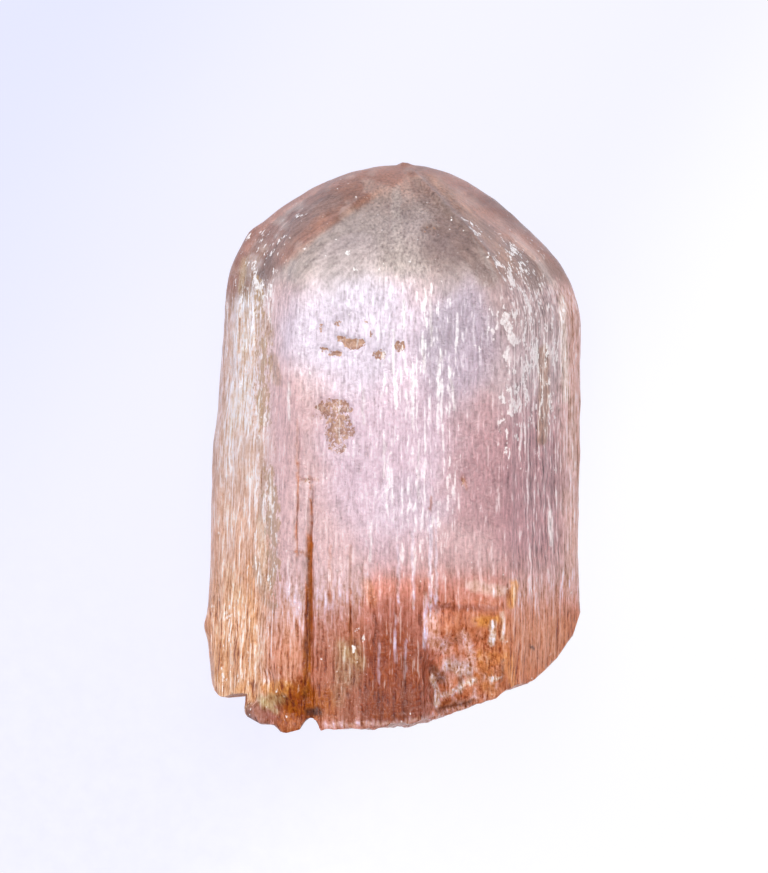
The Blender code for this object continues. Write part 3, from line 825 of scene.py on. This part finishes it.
def paintCrystal(points, onBase):
    # colour, strength of the fine texture and of the painted glints at each point
    x, y, z = points.T
    around = x * 0.9 + 0.6 * np.minimum(z - 6.2, 0.0)
    wanderX = fractalNoise(around, y * 0.8, 61)
    wanderY = fractalNoise(around + 9, y * 0.8, 71)
    fray = 0.7 * fractalNoise(x * 4, y * 0.4 + z, 81)
    mask = findMasks(points, onBase, wanderX, wanderY, fray)
    frontWander = markings["frontWander"] * wanderX, markings["frontWander"] * wanderY
    stainWander = markings["stainWander"] * wanderX, markings["stainWander"] * wanderY

    colour = np.tile(crystalColours["pink"], (len(points), 1))
    colour = paintWashes(colour, washes, x, y, *frontWander, mask["front"])
    colour = paintCoats(colour, "flanks", mask)
    colour = paintWashes(colour, domeWashes, x, y, *frontWander, mask["front"])
    colour = paintCoats(colour, "dome", mask)
    colour = paintCoats(colour, "stain", mask)
    colour = paintWashes(colour, stains, x + 0.06 * fray, y + 0.1 * fray, *stainWander, mask["upward"])
    colour = paintCoats(colour, "base", mask)
    colour, stained, glinting = paintStrokes(colour, x, y, mask["upward"] * (1.0 - 0.9 * mask["base"]))
    colour = paintCoats(colour, "edges", mask)
    blotches = 1.0 + (0.09 + 0.06 * mask["dome"]) * fractalNoise(x * 1.9 + z, y * 1.6, 101)
    blotches += 0.1 * mask["leftBlotches"] * fractalNoise(x * 5, y * 3.5, 107)
    blotches += 0.08 * mask["rightBlotches"] * fractalNoise(x * 4, y * 2.5, 109)
    blotches += 0.1 * mask["dome"] * latticeNoise(x * 4 + y * 3, y * 8 - x * 4, 105)
    shadow = 1.0 - mask["outline"][:, None] * np.array(markings["outlineShade"])
    colour = np.clip(colour * shadow * blotches[:, None], 0.0, 1.0)

    amount = {}
    for name, shares in zoneShares.items():
        amount[name] = sum(share * mask[place] for place, share in shares.items())
    threads = mask["prism"] * np.clip(amount["threads"], 0.0, 1.0)
    streaks = mask["prism"] * np.clip(amount["streaks"], 0.0, 1.1) * (1.0 - 0.7 * mask["spallInside"])
    texture = np.stack([threads, streaks, np.clip(amount["grain"], 0.0, 1.2)], -1)

    # painted glints, white flecks and threads standing in for light caught on etched scales and
    # striations, and the share of the surface that is frosted
    glintFleckShare = np.clip(amount["glintFlecks"], 0.0, 1.0) * (1.0 - 0.9 * mask["spallEdge"])
    glintFleckShare += markings["glintShare"] * glinting
    glintThreads = np.clip(amount["glintThreads"], 0.0, 1.0) * mask["prism"] * zone("whiteFoot", y)
    glintThreads *= (1.0 - mask["groove"]) * (1.0 - 0.8 * mask["spallEdge"])
    glintThreads *= 1.0 - mask["lower"] * (0.35 + 0.45 * mask["rightSide"])
    frost = amount["frost"]
    for covered in (np.clip(mask["groove"] + 0.7 * stained, 0.0, 1.0), 0.7 * mask["ochreEnd"]):
        frost = frost + (markings["stainFrost"] - frost) * covered
    marked = np.maximum(mask["front"], markings["rearMarks"])
    glintFlecks = np.stack([glintFleckShare * marked, glintThreads * marked, frost], -1)

    inPit = np.clip(pitDepth(points) / markings["fullPit"], 0.0, 1.35)
    warmth = np.clip(amount["warmth"], 0.0, 1.0)
    marks = np.stack([warmth, inPit, mask["strip"], mask["dome"] * mask["front"]], -1)
    tint = np.concatenate([colour, amount["gloss"][:, None]], axis=1)
    return tint, texture, glintFlecks, marks


def makeCrystal(material):
    form = crystalForm
    rings = form["baseRings"] + form["sideRings"] + form["domeRings"]
    atEnd = 0.9999
    bm = bmesh.new()
    bmesh.ops.create_grid(bm, x_segments=form["columns"], y_segments=rings, size=1.0)

    # the sheet's width goes once round the c axis, its height runs from the base to the tip
    sheet = np.array([vert.co[:] for vert in bm.verts])
    sheet[sheet[:, 0] > atEnd, 0] = -1.0       # both sides of the seam lie in one place
    turn = sheet[:, 0] * math.pi
    turn = turn + form["frontCrowding"] * np.cos(turn)
    ring = np.rint((sheet[:, 1] + 1.0) / 2.0 * rings)
    points, onBase = shapeCrystal(ring, turn)
    for vert, point in zip(bm.verts, fitToNode(points, "crystal")):
        vert.co = point * mm

    # what the material needs to know of each point, in layers that survive the merge
    tint, texture, glintFlecks, marks = paintCrystal(alongPiece(points), onBase)
    layers = bm.verts.layers
    # the fleck layer holds the painted glints, flecks and threads, and the frosted share
    for layer, values in (
            (layers.float_color.new("tint"), tint), (layers.float_color.new("marks"), marks),
            (layers.float_vector.new("texture"), texture), (layers.float_vector.new("glintFlecks"), glintFlecks)):
        for vert, value in zip(bm.verts, values):
            vert[layer] = value

    # close the seam and the two poles
    ends = [vert for vert, place in zip(bm.verts, sheet) if max(abs(place[0]), abs(place[1])) > atEnd]
    bmesh.ops.remove_doubles(bm, verts=ends, dist=form["seamMerge"] * mm)
    bmesh.ops.dissolve_degenerate(bm, edges=bm.edges, dist=form["smallestEdge"] * mm)
    bmesh.ops.recalc_face_normals(bm, faces=bm.faces)
    mesh = bpy.data.meshes.new("crystalSurface")
    bm.to_mesh(mesh)
    bm.free()
    mesh.shade_smooth()
    mesh.set_sharp_from_angle(angle=math.radians(form["sharpAngle"]))
    mesh.materials.append(material)
    piece = addObject("crystalSurface", mesh)
    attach(piece, "root")
    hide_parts("crystal")


class Value:
    # one number socket; arithmetic on it adds Math nodes
    def __init__(self, shader, socket):
        self.shader = shader
        self.socket = socket

    def join(self, operation, first, second):
        node = self.shader.node("ShaderNodeMath", {"operation": operation}, {0: first, 1: second})
        return Value(self.shader, node.outputs[0])

    def __add__(self, other):
        return self.join("ADD", self, other)

    def __radd__(self, other):
        return self.join("ADD", other, self)

    def __sub__(self, other):
        return self.join("SUBTRACT", self, other)

    def __rsub__(self, other):
        return self.join("SUBTRACT", other, self)

    def __mul__(self, other):
        return self.join("MULTIPLY", self, other)

    def __rmul__(self, other):
        return self.join("MULTIPLY", other, self)

    def __pow__(self, other):
        return self.join("POWER", self, other)

    def above(self, other):
        return self.join("MAXIMUM", self, other)

    def ramp(self, low, high, start=0.0, end=1.0):
        node = self.shader.node(
            "ShaderNodeMapRange", {"interpolation_type": "SMOOTHSTEP"},
            {"Value": self, "From Min": low, "From Max": high, "To Min": start, "To Max": end})
        return Value(self.shader, node.outputs[0])


class Shader:
    def __init__(self, name):
        self.material = bpy.data.materials.new(name)
        self.material.use_nodes = True
        self.tree = self.material.node_tree
        self.tree.nodes.clear()

    def node(self, kind, settings=None, sockets=None):
        made = self.tree.nodes.new(kind)
        for key, value in (settings or {}).items():
            setattr(made, key, value)
        for key, value in (sockets or {}).items():
            if isinstance(value, Value):
                value = value.socket
            if isinstance(value, bpy.types.NodeSocket):
                self.tree.links.new(value, made.inputs[key])
            else:
                made.inputs[key].default_value = value
        return made

    def stretch(self, vector, factors):
        made = self.node("ShaderNodeVectorMath", {"operation": "MULTIPLY"}, {0: vector, 1: factors})
        return made.outputs[0]

    def split(self, vector):
        numbers = self.node("ShaderNodeSeparateXYZ", None, {0: vector}).outputs
        return [Value(self, socket) for socket in numbers]

    def place(self):
        # Object coordinates in millimetres: the vector and its three numbers
        vector = self.stretch(self.node("ShaderNodeTexCoord").outputs["Object"], (1 / mm, 1 / mm, 1 / mm))
        return vector, *self.split(vector)

    def turned(self, vector, angle):
        return self.node("ShaderNodeVectorRotate", {"rotation_type": "Z_AXIS"},
                         {"Vector": vector, "Angle": math.radians(angle)}).outputs[0]

    def layer(self, name, output):
        return self.node("ShaderNodeAttribute", {"attribute_name": name}).outputs[output]

    def noise(self, vector, across, along, detail, roughness):
        # cells per millimetre across and along the crystal; values gather round 0
        made = self.node("ShaderNodeTexNoise", None, {
            "Vector": self.stretch(vector, (across, along, across)), "Scale": 1.0,
            "Detail": detail, "Roughness": roughness})
        return Value(self, made.outputs[0]) - 0.5

    def mix(self, factor, first, second, blend="MIX"):
        made = self.node("ShaderNodeMix", {"data_type": "RGBA", "blend_type": blend},
                         {0: factor, 6: first, 7: second})
        return made.outputs[2]


crystalFinish = {
    "refraction": 1.52,
    "inside": (0.97, 0.8, 0.83, 1.0),
    "insideDensity": 60.0,  # per metre
    "clearRoughness": 0.34,
    "frostRoughness": 0.42,
    "frostSpecular": 0.3,
    "coatRoughness": 0.18,
    # noises: cells per millimetre across and along, detail, roughness
    "thread": (15.0, 3.0, 1.0, 0.6),
    "streak": (11.0, 0.5, 2.0, 0.6),
    "grain": (15.0, 12.0, 2.0, 0.6),
    "fleck": (6.0, 2.4, 2.0, 0.65),
    "coarse": (7.0, 4.5, 2.0, 0.65),
    "slope": (7.0, 1.2, 2.0, 0.6),
    "slopeTurns": (49, -45),  # which way the streaks run on the dome, to the left and the right
    "threadContrast": 2.6,
    "streakContrast": 3.0,
    "grainContrast": 2.4,
    "slopeContrast": 1.6,
    "darkest": 0.15,
    # where a noise turns into a mark, and how far the mark covers the colour
    "pitEdge": (0.4, 0.6),
    "etchedEdge": (0.3, 0.4),
    # the fleck and white ones shape the painted glints
    "fleckEdge": (0.25, 0.3),
    "stripFleckEdge": (0.42, 0.52),
    "whiteEdge": (0.14, 0.22),
    "pitCover": 0.92,
    "etchedCover": 0.8,
    "whiteCover": 0.8,
    "pitLight": (0.5, 0.27, 0.15, 1.0),
    "pitDark": (0.27, 0.11, 0.05, 1.0),
    "etched": (0.48, 0.29, 0.14, 1.0),
    # white is the colour of the painted glints
    "white": (1.0, 0.97, 0.965, 1.0),
    "bumpHeight": 0.00004,  # metres
}


def crystalMaterial():
    finish = crystalFinish
    shader = Shader("pinkCrystal")
    place, x, y, z = shader.place()
    tint = shader.layer("tint", "Color")
    gloss = shader.layer("tint", "Alpha")
    threads, streaks, grains = shader.split(shader.layer("texture", "Vector"))
    glintFleckShare, glintThreadShare, frost = shader.split(shader.layer("glintFlecks", "Vector"))
    warmth, pits, strip = shader.split(shader.layer("marks", "Color"))
    facets = Value(shader, shader.layer("marks", "Alpha"))
    thread = shader.noise(place, *finish["thread"])
    streak = shader.noise(place, *finish["streak"])
    grain = shader.noise(place, *finish["grain"])
    fleck = shader.noise(place, *finish["fleck"])
    coarse = shader.noise(place, *finish["coarse"])

    # on the dome the streaks run down the slopes to both sides
    onLeft = (x * -1.0).ramp(0.2, 1.4)
    onRight = x.ramp(1.0, 1.8)
    left, right = (shader.turned(place, angle) for angle in finish["slopeTurns"])
    slope = shader.noise(shader.mix(x.ramp(0.4, 0.5), left, right), *finish["slope"])
    slopes = slope * (onLeft + onRight) + thread * (1.0 - onLeft - onRight)

    # light and dark texture
    shade = thread * threads * finish["threadContrast"] + streak * streaks * finish["streakContrast"]
    shade = shade + grain * grains * finish["grainContrast"] + slopes * facets * finish["slopeContrast"]
    shade = (shade + 1.0).above(finish["darkest"])
    warmShade = shader.node("ShaderNodeCombineXYZ", None, {
        0: shade ** (1.0 - warmth * 0.45), 1: shade, 2: shade ** (warmth * 0.7 + 0.9)})
    colour = shader.mix(1.0, tint, warmShade.outputs[0], "MULTIPLY")

    # pits and the etched strip
    pitted = (pits * 0.64 + grain * 1.6).ramp(*finish["pitEdge"])
    pitColour = shader.mix(coarse.ramp(-0.1, 0.1), finish["pitLight"], finish["pitDark"])
    colour = shader.mix(pitted * finish["pitCover"], colour, pitColour)
    etched = (strip * 0.5 + coarse).ramp(*finish["etchedEdge"])
    colour = shader.mix(etched * finish["etchedCover"], colour, finish["etched"])

    # painted glints: white flecks and threads standing in for light caught on etched scales and
    # striations
    glintFlecks = (fleck + grain * 0.45 + glintFleckShare * 0.2).ramp(*finish["fleckEdge"])
    glintFlecks = glintFlecks.above((strip * 0.44 - coarse).ramp(*finish["stripFleckEdge"]))
    glintThreads = (streak * 0.8 + thread * 0.6 + glintThreadShare * 0.13).ramp(*finish["whiteEdge"])
    glintThreads = glintThreads * glintThreadShare.ramp(0.0, 0.6)
    white = glintFlecks.above(glintThreads) * grain.ramp(-0.14, 0.06, 0.55, 1.0)
    colour = shader.mix(white * finish["whiteCover"], colour, finish["white"])

    bump = shader.node("ShaderNodeBump", None, {
        "Strength": 1.0, "Distance": finish["bumpHeight"],
        "Height": thread * threads + grain * 0.7 + streak * streaks})
    clear = shader.node("ShaderNodeBsdfPrincipled", None, {
        "Base Color": colour, "Roughness": grain * 0.25 + finish["clearRoughness"],
        "IOR": finish["refraction"], "Transmission Weight": 1.0, "Normal": bump.outputs[0]})
    frosted = shader.node("ShaderNodeBsdfPrincipled", None, {
        "Base Color": colour, "Roughness": finish["frostRoughness"], "IOR": finish["refraction"],
        "Specular IOR Level": finish["frostSpecular"], "Coat Weight": gloss,
        "Coat Roughness": finish["coatRoughness"], "Normal": bump.outputs[0],
        "Coat Normal": bump.outputs[0]})
    frostShare = frost + white * 0.4 + pitted * 0.35 + etched * 0.25
    surface = shader.node("ShaderNodeMixShader", None, {
        0: frostShare, 1: clear.outputs[0], 2: frosted.outputs[0]})
    inside = shader.node("ShaderNodeVolumeAbsorption", None,
                         {"Color": finish["inside"], "Density": finish["insideDensity"]})
    shader.node("ShaderNodeOutputMaterial", None,
                {"Surface": surface.outputs[0], "Volume": inside.outputs[0]})
    return shader.material


makeCrystal(crystalMaterial())
print("crystal made")

# The floor's size and drop and the softboxes' distances and sizes are in metres
studio = {
    "floorSize": 0.6,
    "floorDrop": 0.00002,  # the sheet lies this far under the crystal
    "floorColour": (0.05, 0.05, 0.05, 1.0),
    # the sheet is a little darker and bluer to the left, and most in the upper left corner
    "floorGlow": (0.95, 0.95, 1.0, 1.0),
    "floorGlowLeft": (0.855, 0.855, 1.0, 1.0),
    "floorGlowCorner": (0.735, 0.755, 0.95, 1.0),
    "floorGlowStrength": 0.98,
    "glowSlant": (-0.06, 0.04), # for each millimetre across and along
    "glowLeftEdge": (-0.4, 0.0),
    "glowCornerEdge": (0.35, 1.0),
    "paper": (2.2, 2.2, 3.0, 0.6),
    "paperSlant": (-0.05, -0.07),
    "paperEdge": (0.3, 1.1),  # the paper's grain shows towards the lower left
    "paperContrast": 0.1,
    "floorRoughness": 0.9,
    "skyColour": (1.0, 0.98, 0.96, 1.0),
    "skyStrength": 0.22,
    # softboxes: direction from the crystal, distance, size, power in watts
    "softboxes": (
        ((-0.1, 0.42, 1.0), 0.16, 0.1, 0.222),
        ((0.8, 0.15, 0.6), 0.16, 0.05, 0.068),
        ((-0.8, 0.3, 0.6), 0.16, 0.05, 0.06),
    ),
}


def makeFloor():
    bm = bmesh.new()
    bmesh.ops.create_grid(bm, x_segments=1, y_segments=1, size=studio["floorSize"] / 2)
    bmesh.ops.translate(bm, verts=bm.verts, vec=(0, 0, -studio["floorDrop"]))
    mesh = bpy.data.meshes.new("floor")
    bm.to_mesh(mesh)
    bm.free()
    shader = Shader("paleSheet")
    place, x, y, z = shader.place()
    across = x * studio["glowSlant"][0] + y * studio["glowSlant"][1]
    glow = shader.mix(across.ramp(*studio["glowLeftEdge"]), studio["floorGlow"], studio["floorGlowLeft"])
    glow = shader.mix(across.ramp(*studio["glowCornerEdge"]), glow, studio["floorGlowCorner"])
    grainy = (x * studio["paperSlant"][0] + y * studio["paperSlant"][1]).ramp(*studio["paperEdge"])
    paper = shader.noise(place, *studio["paper"]) * grainy
    strength = paper * studio["paperContrast"] + studio["floorGlowStrength"]
    skin = shader.node("ShaderNodeBsdfPrincipled", None, {
        "Base Color": studio["floorColour"], "Roughness": studio["floorRoughness"],
        "Emission Color": glow, "Emission Strength": strength})
    shader.node("ShaderNodeOutputMaterial", None, {"Surface": skin.outputs[0]})
    mesh.materials.append(shader.material)
    floor = addObject("floor", mesh)


def makeLights():
    for number, (direction, distance, size, power) in enumerate(studio["softboxes"]):
        light = bpy.data.lights.new("softbox" + str(number), "AREA")
        light.shape = "SQUARE"
        light.size = size
        light.energy = power
        lamp = addObject("softbox" + str(number), light)
        away = Vector(direction).normalized()
        lamp.location = away * distance
        lamp.rotation_euler = away.to_track_quat("Z", "Y").to_euler()

    world = bpy.data.worlds.new("paleRoom")
    world.use_nodes = True
    background = world.node_tree.nodes["Background"]
    background.inputs[0].default_value = studio["skyColour"]
    background.inputs[1].default_value = studio["skyStrength"]
    bpy.context.scene.world = world


# The photo is 768 by 873 pixels; the crystal is 568 pixels long in it
view = {
    "lens": 400.0,
    "sensor": 36.0,
    "frameHeight": 873 * 14.0 / 568,  # what the picture's long side takes in at the widest level
    "widestLevel": 3.7,  # height over the sheet of the crystal's widest outline
    "clipStart": 0.005,  # metres
    "centre": (-0.21, 0.23),  # the point of the sheet at the picture's middle
}


def makeCamera():
    camera = bpy.data.cameras.new("camera")
    camera.lens = view["lens"]
    camera.sensor_width = view["sensor"]
    camera.clip_start = view["clipStart"]
    eye = addObject("camera", camera)
    distance = view["lens"] / view["sensor"] * view["frameHeight"]
    eye.location = (view["centre"][0] * mm, view["centre"][1] * mm, (view["widestLevel"] + distance) * mm)
    bpy.context.scene.camera = eye


makeFloor()
makeLights()
makeCamera()
bpy.context.scene.view_settings.view_transform = "Standard"
print("studio ready")
